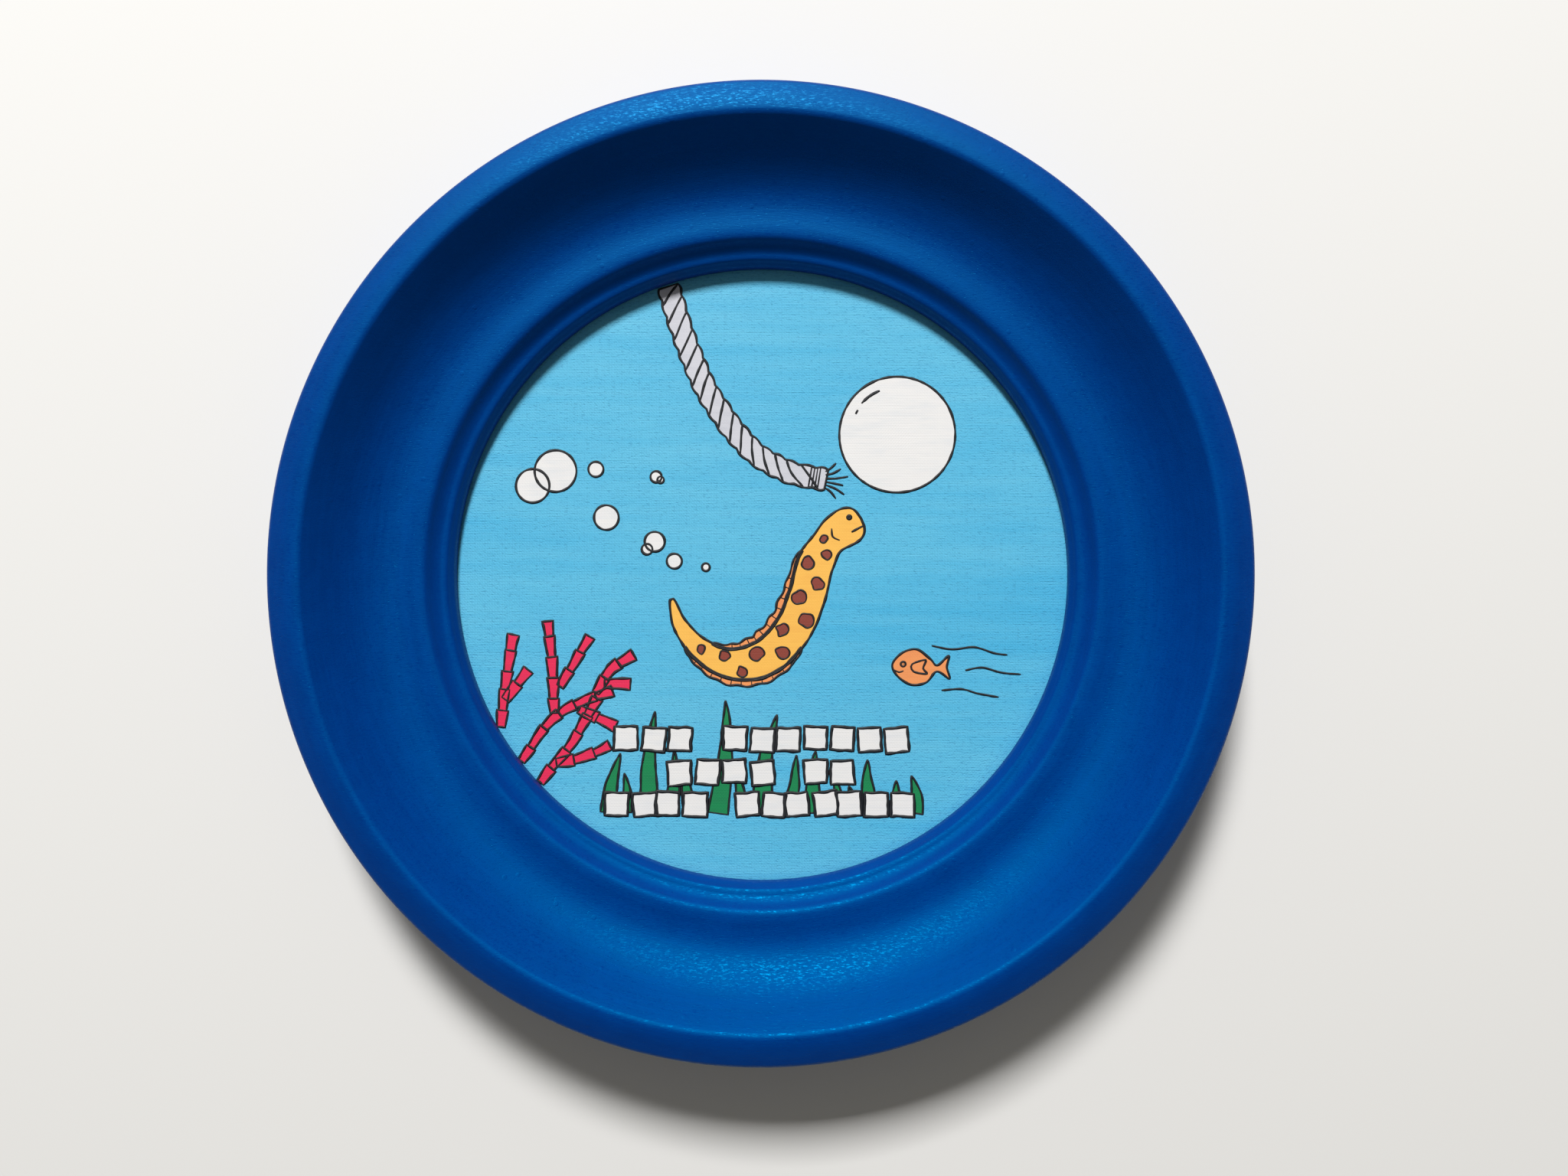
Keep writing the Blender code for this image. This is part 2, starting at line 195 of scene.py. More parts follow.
def raise_surface(shader, height, distance):
    """Bump the shader's surface by a height from 0 to 1, times a distance in metres."""
    feed(shader, "Normal", height.node("ShaderNodeBump", {}, {"Height": height, "Distance": distance}))


def colour(red, green, blue):
    return (red, green, blue, 1.0)


def start_piece(name):
    """Name the primitive just added, with its own clean mesh."""
    piece = bpy.context.object
    piece.name = name
    piece.data.name = name
    return piece


def add_primitive(add, **settings):
    """Deselect all, add a primitive and open it in edit mode."""
    if bpy.context.mode != "OBJECT":
        bpy.ops.object.mode_set(mode="OBJECT")
    bpy.ops.object.select_all(action="DESELECT")
    add(**settings)
    bpy.ops.object.mode_set(mode="EDIT")


def run(start, start_direction, end, end_direction, steps):
    """Points of a smooth run between two places, each with its direction of travel in degrees."""
    reach = math.dist(start, end) / 3.0
    leave = math.radians(start_direction)
    arrive = math.radians(end_direction)
    first = (start[0] + reach * math.cos(leave), start[1] + reach * math.sin(leave))
    second = (end[0] - reach * math.cos(arrive), end[1] - reach * math.sin(arrive))
    points = []
    for step in range(1, steps + 1):
        t = step / steps
        weights = ((1 - t) ** 3, 3 * t * (1 - t) ** 2, 3 * t * t * (1 - t), t ** 3)
        controls = (start, first, second, end)
        points.append(tuple(sum(w * p[axis] for w, p in zip(weights, controls)) for axis in (0, 1)))
    return points


ring_low, ring_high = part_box("frame_ring")
canvas_low, canvas_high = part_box("canvas")
OUTER_RADIUS = ring_high[0] / MM
BACK_Z = ring_low[2] / MM
RIM_CREST = (142.9, 40.2)
SHOULDER = (151.0, 38.4)
SIDE_TOP = (OUTER_RADIUS, 36.6)
BACK_EDGE = 1.0
RABBET_RADIUS = 102.9
LIP_UNDER_Z = canvas_high[2] / MM + 0.3
SIGHT_RADIUS = 101.0
RING_STEPS = 360


def moulding_section():
    """The ring's section in millimetres, as (radius, height), from the rim's crest down its outside."""
    section = [RIM_CREST]
    section += run(RIM_CREST, 0, SHOULDER, -18, 16)
    section += run(SHOULDER, -18, SIDE_TOP, -90, 8)
    section += [(OUTER_RADIUS, height) for height in (28.0, 20.0, 12.0)]
    section += [(OUTER_RADIUS, BACK_Z + BACK_EDGE)]
    section += run(section[-1], -90, (OUTER_RADIUS - BACK_EDGE, BACK_Z), -180, 4)
    section += [(radius, BACK_Z) for radius in (140.0, 128.0, 115.0)]
    section += [(RABBET_RADIUS, BACK_Z), (RABBET_RADIUS, LIP_UNDER_Z), (SIGHT_RADIUS + 0.3, LIP_UNDER_Z)]
    section += run(section[-1], 180, (SIGHT_RADIUS, LIP_UNDER_Z + 0.3), 90, 2)
    section += [(SIGHT_RADIUS, 13.0)]
    direction = 90
    for turn, turn_direction, steps in (
        ((101.9, 14.9), 56, 6), ((102.9, 16.35), 30, 6), ((104.1, 16.8), 15, 5), ((105.1, 17.2), 30, 5),
        ((106.6, 18.4), 47, 6), ((107.7, 19.85), 57, 5), ((108.7, 20.9), 31, 6), ((109.6, 21.25), 14, 5),
        ((110.5, 21.4), 6, 4), ((112.8, 21.5), -1, 5), ((114.5, 21.5), 1, 4), ((118.2, 21.77), 9, 7),
        ((123.2, 23.27), 24, 9), ((126.0, 24.73), 31, 6), ((130.4, 27.9), 41, 8), ((133.9, 31.35), 48, 8),
        ((140.8, 39.35), 48, 12),
    ):
        section += run(section[-1], direction, turn, turn_direction, steps)
        direction = turn_direction
    section += run(section[-1], direction, RIM_CREST, 0, 12)[:-1]
    return section


def turn_section(name, section, steps, closed):
    """Extrude one point round a section given in millimetres, then spin it once about the Z axis."""
    add_primitive(bpy.ops.mesh.primitive_plane_add, size=1.0)
    bpy.ops.mesh.merge(type="CENTER")
    start = Vector((section[0][0], 0.0, section[0][1])) * MM
    bpy.ops.transform.translate(value=start)
    for here, there in zip(section, section[1:]):
        step = Vector((there[0] - here[0], 0.0, there[1] - here[1])) * MM
        bpy.ops.mesh.extrude_vertices_move(TRANSFORM_OT_translate={"value": step})
    bpy.ops.mesh.select_all(action="SELECT")
    if closed:
        bpy.ops.mesh.select_all(action="DESELECT")
        bpy.ops.object.mode_set(mode="OBJECT")
        points = bpy.context.object.data.vertices
        points[0].select = True
        points[len(points) - 1].select = True
        bpy.ops.object.mode_set(mode="EDIT")
        bpy.ops.mesh.edge_face_add()
        bpy.ops.mesh.select_all(action="SELECT")
    bpy.ops.mesh.spin(steps=steps, angle=2.0 * math.pi, center=(0, 0, 0), axis=(0, 0, 1))
    bpy.ops.mesh.select_all(action="SELECT")
    bpy.ops.mesh.remove_doubles(threshold=0.000001)
    bpy.ops.mesh.normals_make_consistent(inside=False)
    bpy.ops.object.mode_set(mode="OBJECT")
    return start_piece(name)


def blue_paint_finish():
    """Satin blue paint laid on with a brush over turned wood, and the bare wood of the back."""
    material, shader, place = start_finish("brushed_blue_paint", 0.4)
    x = place.part("X")
    y = place.part("Y")
    z = place.part("Z")
    radius = (x * x + y * y) ** 0.5
    along_x = x / radius
    along_y = y / radius
    brush = place.packed(along_x * 14.0, along_y * 14.0, (radius + z) * 2600.0).noise(1.0, 2.0, 0.6)
    strokes = place.packed(along_x * 5.0, along_y * 5.0, (radius + z) * 420.0).noise(1.0, 3.0, 0.6)
    grain = place.stretched(420.0, 2300.0, 900.0).noise(1.0, 2.0, 0.55)
    pores = place.stretched(900.0, 3600.0, 2000.0).noise(1.0, 1.0, 0.5).between(0.62, 0.78)
    glints = place.stretched(620.0, 2300.0, 1300.0).noise(1.0, 2.0, 0.6).between(0.5, 0.66)
    waves = place.noise(160.0, 2.0, 0.5)
    specks = place.node("ShaderNodeTexVoronoi", {}, {"Vector": place, "Scale": 140.0, "Randomness": 1.0})
    grit = specks.between(0.13, 0.05)
    paint = (strokes * 0.6 + waves * 0.4).between(0.3, 0.72).mixed(
        colour(0.0, 0.025, 0.197), colour(0.0, 0.031, 0.226)
    )
    paint = (pores * 0.35).mixed(paint, colour(0.0, 0.02, 0.15))
    back_edge = z + (place.noise(90.0, 3.0, 0.6) - 0.5) * 0.0016
    bare_back = back_edge.between(0.0044, 0.0041)
    bare_rabbet = radius.between(0.10315, 0.1030) * z.between(0.0098, 0.0096)
    bare = bare_back.maths("MAXIMUM", bare_back, bare_rabbet)
    year_rings = (place.stretched(9.0, 150.0, 60.0).noise(1.0, 3.0, 0.6) * 22.0).maths(
        "PINGPONG", place.stretched(9.0, 150.0, 60.0).noise(1.0, 3.0, 0.6) * 22.0, 1.0
    )
    wood = (year_rings * 0.6 + grain * 0.5).between(0.1, 1.0).mixed(
        colour(0.58, 0.40, 0.22), colour(0.39, 0.235, 0.115)
    )
    feed(shader, "Base Color", bare.mixed(paint, wood))
    feed(shader, "Roughness", bare * 0.25 + 0.52 + strokes * 0.1 + waves * 0.05 - glints * 0.2)
    shader.inputs["Specular IOR Level"].default_value = 0.9
    shader.inputs["Specular Tint"].default_value = colour(0.0, 0.53, 1.0)
    tool_marks = (radius * 5200.0).maths("SINE", radius * 5200.0) * bare * 0.08
    height = brush * 0.6 + grain * 0.7 + waves * 1.2 + pores * -0.6 + grit * 0.9 + tool_marks
    raise_surface(shader, height, 0.00005)
    return material


ring = turn_section("frame_ring_painted", moulding_section(), RING_STEPS, closed=True)
ring.data.materials.append(blue_paint_finish())
bpy.ops.object.shade_smooth_by_angle(angle=math.radians(35.0))
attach(ring, "frame")
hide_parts("frame_ring")


# ---- The stretched canvas ---------------------------------------------------------------------
# A round of primed cotton canvas, drawn over the edge of its board and glued down behind. Only its
# face is painted, with a watery blue brushed from side to side; the turned edge is raw cotton.
CANVAS_RADIUS = canvas_high[0] / MM
CANVAS_FACE = canvas_high[2] / MM
CANVAS_BACK = canvas_low[2] / MM
CLOTH_THICKNESS = 0.4
EDGE_ROUNDING = 0.8
HEM_RADIUS = 87.0
THREAD_ACROSS = 0.47
THREAD_UP = 0.55


def canvas_section():
    """The cloth's outer face in millimetres, from the middle of the picture round to the hem."""
    section = [(radius, CANVAS_FACE) for radius in range(0, 99, 7)]
    section += [(CANVAS_RADIUS - EDGE_ROUNDING, CANVAS_FACE)]
    section += run(section[-1], 0, (CANVAS_RADIUS, CANVAS_FACE - EDGE_ROUNDING), -90, 4)
    section += [(CANVAS_RADIUS, CANVAS_BACK + EDGE_ROUNDING)]
    section += run(section[-1], -90, (CANVAS_RADIUS - EDGE_ROUNDING, CANVAS_BACK), -180, 4)
    section += [(radius, CANVAS_BACK) for radius in (97.0, 92.0, HEM_RADIUS)]
    return section


def cloth_weave(place):
    """The height of a plain weave from 0 to 1, with threads that wander and thicken a little."""
    wander = place.noise(260.0, 2.0, 0.5) * 1.6
    across = place.part("X") * (math.pi / (THREAD_ACROSS * MM)) + wander
    up = place.part("Y") * (math.pi / (THREAD_UP * MM)) + wander
    warp = across.maths("SINE", across)
    weft = up.maths("SINE", up)
    slubs = place.stretched(140.0, 1500.0, 1.0).noise(1.0, 2.0, 0.5)
    return (warp * warp) * (weft * weft) * 0.55 + warp * weft * 0.15 + slubs * 0.3 + 0.1


def water_finish():
    """Thin blue acrylic brushed from side to side over the weave, with painted shade in the weave's hollows, and
    raw cotton past the edge.
    """
    material, shader, place = start_finish("water_blue_canvas", 0.62)
    weave = cloth_weave(place)
    streaks = place.stretched(16.0, 210.0, 1.0).noise(1.0, 4.0, 0.6)
    wash = place.stretched(7.0, 26.0, 1.0).noise(1.0, 3.0, 0.55)
    middle = place.part("Y").maths("ABSOLUTE", place.part("Y") + 0.012).between(0.05, 0.0)
    deep = place.part("X").between(-0.02, 0.095) * middle
    depth = (streaks * 0.45 + wash * 0.55 + deep * 0.12).between(0.3, 0.85)
    water = depth.mixed(colour(0.115, 0.52, 0.75), colour(0.043, 0.425, 0.715))
    # Painted shade: the weave's hollows are darkened towards a deep blue. Short darker dashes, which the bump
    # also presses in, are mixed in with it.
    shaded_hollows = weave.between(0.3, 0.1)
    dashes = place.stretched(700.0, 1900.0, 1.0).noise(1.0, 2.0, 0.6).between(0.5, 0.72)
    water = (shaded_hollows * 0.6 + dashes * 0.4).mixed(water, colour(0.014, 0.22, 0.46))
    cotton = place.noise(900.0, 2.0, 0.6).mixed(colour(0.66, 0.60, 0.48), colour(0.78, 0.74, 0.64))
    ragged = place.part("Z") + (place.noise(120.0, 3.0, 0.6) - 0.5) * 0.0012
    feed(shader, "Base Color", ragged.between(0.0086, 0.0089).mixed(cotton, water))
    feed(shader, "Roughness", streaks * 0.2 + 0.5)
    raise_surface(shader, weave + streaks * 0.25 - dashes * 0.5, 0.00012)
    return material


def solidify(piece, thickness):
    """Give an open face its thickness, inwards."""
    wall = piece.modifiers.new("thickness", "SOLIDIFY")
    wall.thickness = thickness
    wall.offset = -1.0
    wall.use_even_offset = True
    bpy.ops.object.modifier_apply(modifier=wall.name)


canvas = turn_section("painted_canvas", canvas_section(), 240, closed=False)
solidify(canvas, CLOTH_THICKNESS * MM)
canvas.data.materials.append(water_finish())
bpy.ops.object.shade_smooth_by_angle(angle=math.radians(40.0))
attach(canvas, "frame")
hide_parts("canvas")


# ---- The painted picture ----------------------------------------------------------------------
# An underwater scene of the maker's own in flat acrylic colours, each patch a thin coat over the
# weave, gone round afterwards with a black paint pen. The tiles are left blank.
PAINT_FOOT = CANVAS_FACE - 0.05
LOW_COAT = CANVAS_FACE + 0.03
LOW_INK = CANVAS_FACE + 0.045
MIDDLE_COAT = CANVAS_FACE + 0.08
TOP_COAT = CANVAS_FACE + 0.10
TOP_INK = CANVAS_FACE + 0.105
COAT_STEP = 0.0004
INK_FLATNESS = 0.06
PEN_WIDTH = 1.0
FINE_PEN = 0.6
draw = random.Random(4)
noise.seed_set(4)


def smooth_path(points, closed=False, spacing=0.8):
    """A smooth line through the given places, as points about one spacing apart."""
    count = len(points)
    path = []
    for span in range(count if closed else count - 1):
        near = [span + offset for offset in (-1, 0, 1, 2)]
        if closed:
            near = [index % count for index in near]
        else:
            near = [min(max(index, 0), count - 1) for index in near]
        before, start, end, after = (points[index] for index in near)
        steps = max(2, round(math.dist(start, end) / spacing))
        for step in range(steps):
            t = step / steps
            path.append(tuple(
                b + 0.5 * t * (c - a + t * (2 * a - 5 * b + 4 * c - d + t * (3 * b - a - 3 * c + d)))
                for a, b, c, d in zip(before, start, end, after)
            ))
    if not closed:
        path.append(points[-1])
    return path


def straight_path(points, closed=False, spacing=0.8):
    """Straight lines from place to place, as points about one spacing apart."""
    path = []
    ends = points[1:] + points[:1] if closed else points[1:]
    for start, end in zip(points, ends):
        steps = max(1, round(math.dist(start, end) / spacing))
        path += [tuple(s + (e - s) * step / steps for s, e in zip(start, end)) for step in range(steps)]
    return path if closed else path + [points[-1]]


def by_hand(path, stray=0.25, closeness=0.16):
    """The same line as a hand draws it, straying a little to either side."""
    drawn = []
    for x, y in path:
        off = noise.noise_vector(Vector((x * closeness, y * closeness, 3.0))) * stray
        drawn.append((x + off.x, y + off.y))
    return drawn


def beside(path, reach):
    """The line beside a path. Its distance off, to the left, depends on the share of the way run."""
    line = []
    last = len(path) - 1
    for index, (x, y) in enumerate(path):
        behind = path[max(index - 1, 0)]
        ahead = path[min(index + 1, last)]
        length = math.dist(behind, ahead)
        off = reach(index / last)
        line.append((x - (ahead[1] - behind[1]) / length * off, y + (ahead[0] - behind[0]) / length * off))
    return line


def band(path, reach):
    """The closed outline of a band along a path, as wide to either side as reach says."""
    return beside(path, reach) + beside(path, lambda share: -reach(share))[::-1]


def round_path(x, y, radius):
    """A hand-drawn circle."""
    steps = max(14, round(radius * 8.0))
    turns = [2.0 * math.pi * step / steps for step in range(steps)]
    wobble = 0.03 * radius
    return by_hand([(x + radius * math.cos(a), y + radius * math.sin(a)) for a in turns], wobble, 0.3 / radius)


def add_line(shape, path, closed):
    """Add one line of straight steps to a curve, from a path in millimetres."""
    line = shape.splines.new("POLY")
    line.points.add(len(path) - 1)
    line.use_cyclic_u = closed
    for point, (x, y) in zip(line.points, path):
        point.co = (x * MM, y * MM, 0.0, 1.0)
    return line


def paint_mesh(name, curves, height, flatness, finish):
    """Turn curves into one mesh piece at its height on the canvas, under its finish."""
    bpy.ops.object.select_all(action="DESELECT")
    for shape in curves:
        blank = bpy.data.objects.new(name, shape)
        bpy.context.scene.collection.objects.link(blank)
        blank.select_set(True)
        bpy.context.view_layer.objects.active = blank
    bpy.ops.object.convert(target="MESH")
    if len(curves) > 1:
        bpy.ops.object.join()
    bpy.ops.transform.resize(value=(1.0, 1.0, flatness))
    bpy.ops.transform.translate(value=(0.0, 0.0, height * MM))
    bpy.ops.object.transform_apply(location=True, rotation=True, scale=True)
    bpy.ops.object.mode_set(mode="EDIT")
    bpy.ops.mesh.select_all(action="SELECT")
    bpy.ops.mesh.remove_doubles(threshold=0.000001)
    bpy.ops.mesh.normals_make_consistent(inside=False)
    bpy.ops.object.mode_set(mode="OBJECT")
    piece = start_piece(name)
    piece.data.materials.clear()
    piece.data.materials.append(finish)
    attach(piece, "frame")
    return piece


def paint_patches(name, outlines, top, finish):
    """Flat coats of paint, one for each outline, each laid a very little over the one before."""
    curves = []
    for index, outline in enumerate(outlines):
        shape = bpy.data.curves.new(name, "CURVE")
        shape.dimensions = "2D"
        shape.fill_mode = "BOTH"
        shape.extrude = (top + COAT_STEP * index - PAINT_FOOT) * MM
        add_line(shape, outline, True)
        curves.append(shape)
    return paint_mesh(name, curves, PAINT_FOOT, 1.0, finish)


def ink_lines(name, lines, height, finish):
    """Pen lines as (path, closed, width), thicker and thinner along their way and fine at open ends."""
    curves = []
    for path, closed, width in lines:
        shape = bpy.data.curves.new(name, "CURVE")
        shape.dimensions = "3D"
        shape.twist_mode = "Z_UP"
        shape.bevel_depth = width / 2.0 * MM
        shape.bevel_resolution = 0
        shape.use_fill_caps = True
        line = add_line(shape, path, closed)
        last = len(path) - 1
        for index, (x, y) in enumerate(path):
            fullness = 1.0 + 0.4 * noise.noise(Vector((x * 0.45, y * 0.45, 9.0)))
            if not closed:
                fullness *= 0.55 + 0.45 * min(1.0, min(index, last - index) / 2.0)
            line.points[index].radius = fullness
        curves.append(shape)
    return paint_mesh(name, curves, height, INK_FLATNESS, finish)


def acrylic_finish(name, full, thin, roughness=0.55):
    """Flat acrylic over canvas: the thin colour shows along the strokes, and the weave's hollows are darkened
    towards it, partly thin paint and partly painted shade.
    """
    material, shader, place = start_finish(name, roughness)
    weave = cloth_weave(place)
    strokes = place.stretched(90.0, 420.0, 1.0).noise(1.0, 3.0, 0.6)
    clouds = place.noise(60.0, 2.0, 0.5)
    # Along the strokes this is thinner paint; in the weave's hollows it is painted shade mixed with thinner
    # paint.
    thinness_and_shade = (strokes * 0.6 + clouds * 0.4).between(0.42, 0.75) * 0.55 + weave.between(0.3, 0.08) * 0.4
    feed(shader, "Base Color", thinness_and_shade.mixed(full, thin))
    feed(shader, "Roughness", strokes * 0.16 + (roughness - 0.08))
    raise_surface(shader, weave + strokes * 0.3, 0.00006)
    return material


white_paint = acrylic_finish("white_acrylic", colour(0.80, 0.785, 0.77), colour(0.66, 0.69, 0.72))
grey_paint = acrylic_finish("grey_acrylic", colour(0.60, 0.60, 0.65), colour(0.47, 0.48, 0.54))
crimson_paint = acrylic_finish("crimson_acrylic", colour(0.79, 0.016, 0.085), colour(0.58, 0.012, 0.075))
green_paint = acrylic_finish("green_acrylic", colour(0.0, 0.225, 0.07), colour(0.0, 0.15, 0.06))
yellow_paint = acrylic_finish("yellow_acrylic", colour(0.93, 0.50, 0.085), colour(0.83, 0.38, 0.06))
brown_paint = acrylic_finish("brown_acrylic", colour(0.26, 0.045, 0.026), colour(0.18, 0.035, 0.022))
orange_paint = acrylic_finish("orange_acrylic", colour(0.86, 0.31, 0.10), colour(0.74, 0.24, 0.08))
black_ink = acrylic_finish("black_paint_pen", colour(0.008, 0.009, 0.011), colour(0.022, 0.024, 0.028), 0.6)

# The weed: long green blades that rise from the bed behind the tiles.
BED_HEIGHT = -79.0
blades = []
for foot, tip, top, half_width, bow in (
    (-51.0, -47.0, -59.5, 2.7, -0.8), (-45.0, -45.5, -66.0, 1.9, 0.6), (-37.5, -35.5, -45.5, 3.1, -0.9),
    (-30.5, -29.0, -58.5, 2.4, 0.7), (-23.5, -25.5, -63.5, 2.3, -0.6), (-14.5, -12.0, -42.0, 3.4, 1.3),
    (-6.5, -8.5, -64.0, 1.9, 0.5), (0.5, 5.0, -46.5, 3.3, -1.8), (8.5, 11.5, -60.0, 2.3, 0.9),
    (17.5, 18.0, -58.5, 2.9, -0.8), (25.5, 24.0, -67.0, 2.0, 0.6), (31.0, 29.0, -70.0, 1.8, 0.4),
    (36.5, 35.0, -61.5, 2.7, -0.7), (43.5, 44.5, -68.5, 2.2, 0.6), (51.0, 49.5, -67.0, 2.4, 1.2),
):
    bend = ((foot + tip) / 2.0 + bow, (BED_HEIGHT + top) / 2.0)
    spine = smooth_path([(foot, BED_HEIGHT), bend, (tip, top)])
    blades.append(by_hand(band(spine, lambda share: half_width * (1.0 - share ** 1.6) + 0.05), 0.35))
paint_patches("weed_green", blades, LOW_COAT, green_paint)
low_ink = [(blade, True, PEN_WIDTH * 0.8) for blade in blades]

# The coral: jointed crimson branches, every joint a little wider at its far end.
JOINT_LENGTH = 6.6
joints = []
for branch in (
    [(-79.5, -62.0), (-71.0, -49.5), (-62.0, -43.0), (-49.5, -38.5)],
    [(-69.0, -46.0), (-69.5, -30.0), (-71.0, -15.5)],
    [(-67.0, -37.0), (-61.5, -28.0), (-57.0, -20.5)],
    [(-55.0, -39.0), (-49.5, -31.0), (-42.5, -26.5)],
    [(-52.0, -36.0), (-43.5, -36.5)],
    [(-73.5, -69.0), (-64.0, -57.0), (-58.0, -47.5), (-54.5, -41.0)],
    [(-68.0, -62.5), (-59.0, -60.5), (-50.5, -56.5)],
    [(-60.5, -44.5), (-48.5, -50.5)],
    [(-86.5, -50.5), (-85.5, -40.0), (-84.0, -29.0), (-82.5, -20.0)],
    [(-85.0, -41.5), (-77.5, -31.5)],
):
    path = smooth_path(branch, spacing=0.4)
    count = max(1, round(0.4 * len(path) / JOINT_LENGTH))
    for joint in range(count):
        piece_of_path = path[joint * len(path) // count:(joint + 1) * len(path) // count + 1]
        trimmed = [piece_of_path[0], piece_of_path[len(piece_of_path) // 2], piece_of_path[-1]]
        slim = draw.uniform(0.95, 1.15)
        outline = band(trimmed, lambda share: slim * (1.2 + 0.55 * share))
        joints.append(by_hand(straight_path(outline, closed=True), 0.3))
paint_patches("coral_crimson", joints, LOW_COAT + 0.008, crimson_paint)
low_ink += [(joint, True, PEN_WIDTH * 0.85) for joint in joints]
ink_lines("pen_lines_behind", low_ink, LOW_INK, black_ink)

# The tiles: three rows of blank white squares, none quite straight.
TILE_SIDE = 7.8
tiles = []
for row_height, places in (
    (-54.5, (-45, -36, -27, -9, 0, 9, 18, 27, 36, 45)),
    (-65.5, (-27, -18, -9, 0, 18, 27)),
    (-76.0, (-48, -39, -31, -22, -5, 4, 12, 21, 29, 38, 47)),
):
    for place_across in places:
        middle_x = place_across + draw.uniform(-0.3, 0.3)
        middle_y = row_height + draw.uniform(-0.35, 0.35)
        turn = draw.uniform(-0.09, 0.09)
        corners = []
        for corner_x, corner_y in ((-1, -1), (1, -1), (1, 1), (-1, 1)):
            x = 0.5 * corner_x * TILE_SIDE * draw.uniform(0.93, 1.05)
            y = 0.5 * corner_y * TILE_SIDE * draw.uniform(0.93, 1.05)
            corners.append((
                middle_x + x * math.cos(turn) - y * math.sin(turn),
                middle_y + x * math.sin(turn) + y * math.cos(turn),
            ))
        tiles.append(by_hand(straight_path(corners, closed=True, spacing=0.6), 0.35, 0.3))
paint_patches("tiles_white", tiles, MIDDLE_COAT, white_paint)
ink = [(tile, True, PEN_WIDTH) for tile in tiles]

# The bubbles: a rising string at the left, one great bubble, and a few small ones beside it.
bubbles = [round_path(*bubble) for bubble in (
    (-68.5, 34.5, 6.9), (-76.0, 29.5, 5.6), (-55.0, 35.0, 2.5), (-35.0, 32.5, 1.9), (-33.5, 31.5, 1.1),
    (-51.5, 19.0, 4.1), (-35.5, 11.0, 3.3), (-38.0, 8.5, 1.8), (-29.0, 4.5, 2.5), (-18.5, 2.5, 1.3),
    (45.0, 46.5, 19.1),
)]
paint_patches("bubbles_white", bubbles, MIDDLE_COAT, white_paint)
ink += [(bubble, True, PEN_WIDTH * 0.8) for bubble in bubbles]
for glint_radius, glint_from, glint_to in ((15.6, 112, 140), (15.2, 148, 156)):
    angles = [math.radians(angle) for angle in range(glint_from, glint_to, 3)]
    glint = [(45.0 + glint_radius * math.cos(a), 46.5 + glint_radius * math.sin(a)) for a in angles]
    ink.append((by_hand(glint), False, PEN_WIDTH))

# The rope: a grey twisted line let down from above, whipped and frayed at its end.
ROPE_HALF = 3.6
STRAND_STEP = 5.4
rope_way = smooth_path([
    (-31.0, 95.6), (-25.0, 77.0), (-17.5, 60.0), (-4.5, 42.5), (8.0, 34.5), (21.5, 31.5),
], spacing=0.5)
rope_length = 0.5 * len(rope_way)
turns_of_rope = round(rope_length / STRAND_STEP)
rope = band(rope_way, lambda share: ROPE_HALF * (0.9 + 0.16 * abs(math.sin(math.pi * turns_of_rope * share))))
left_side = beside(rope_way, lambda share: ROPE_HALF)
right_side = beside(rope_way, lambda share: -ROPE_HALF)
paint_patches("rope_grey", [by_hand(rope, 0.2)], MIDDLE_COAT, grey_paint)
ink.append((by_hand(rope, 0.2), True, PEN_WIDTH * 0.8))
per_turn = len(rope_way) / turns_of_rope
for turn in range(turns_of_rope - 1):
    enters = round(turn * per_turn)
    leaves = min(len(rope_way) - 1, round((turn + 1.35) * per_turn))
    strand = [left_side[enters], rope_way[(enters + leaves) // 2], right_side[leaves]]
    ink.append((by_hand(smooth_path(strand), 0.2), False, FINE_PEN * 1.3))
for lash in (14, 12, 10, 8):
    ink.append(([left_side[-lash], rope_way[-lash], right_side[-lash]], False, FINE_PEN * 1.4))
for spread, length in ((-42, 5.0), (-24, 7.0), (-8, 6.0), (9, 7.5), (27, 5.5), (44, 4.5)):
    angle = math.radians(spread - 6.0)
    start = (rope_way[-1][0] - 0.3, rope_way[-1][1] + 0.062 * spread)
    end = (start[0] + length * math.cos(angle), start[1] + length * math.sin(angle))
    middle = ((start[0] + end[0]) / 2.0, (start[1] + end[1]) / 2.0 + draw.uniform(-0.5, 0.5))
    ink.append((by_hand(smooth_path([start, middle, end])), False, FINE_PEN * 1.3))

# The eel: a plain yellow eel with brown blotches, swimming up towards the rope.
eel_way = smooth_path([
    (-30.0, -8.0), (-27.0, -16.5), (-20.5, -24.5), (-10.5, -29.5), (1.0, -27.5), (10.0, -18.5),
    (15.0, -7.0), (18.0, 4.0), (24.0, 13.0), (33.0, 18.5),
], spacing=0.5)


def eel_half_width(share):
    """Half the eel's width along its length: a fine tail, a full body, a neck and a blunt snout."""
    body = 0.5 + 5.7 * min(1.0, share / 0.4) ** 0.8
    neck = 1.0 - 0.16 * math.exp(-((share - 0.86) / 0.05) ** 2)
    snout = math.sqrt(max(0.0, 1.0 - max(0.0, (share - 0.93) / 0.07) ** 2.4))
    return body * neck * snout + 0.02


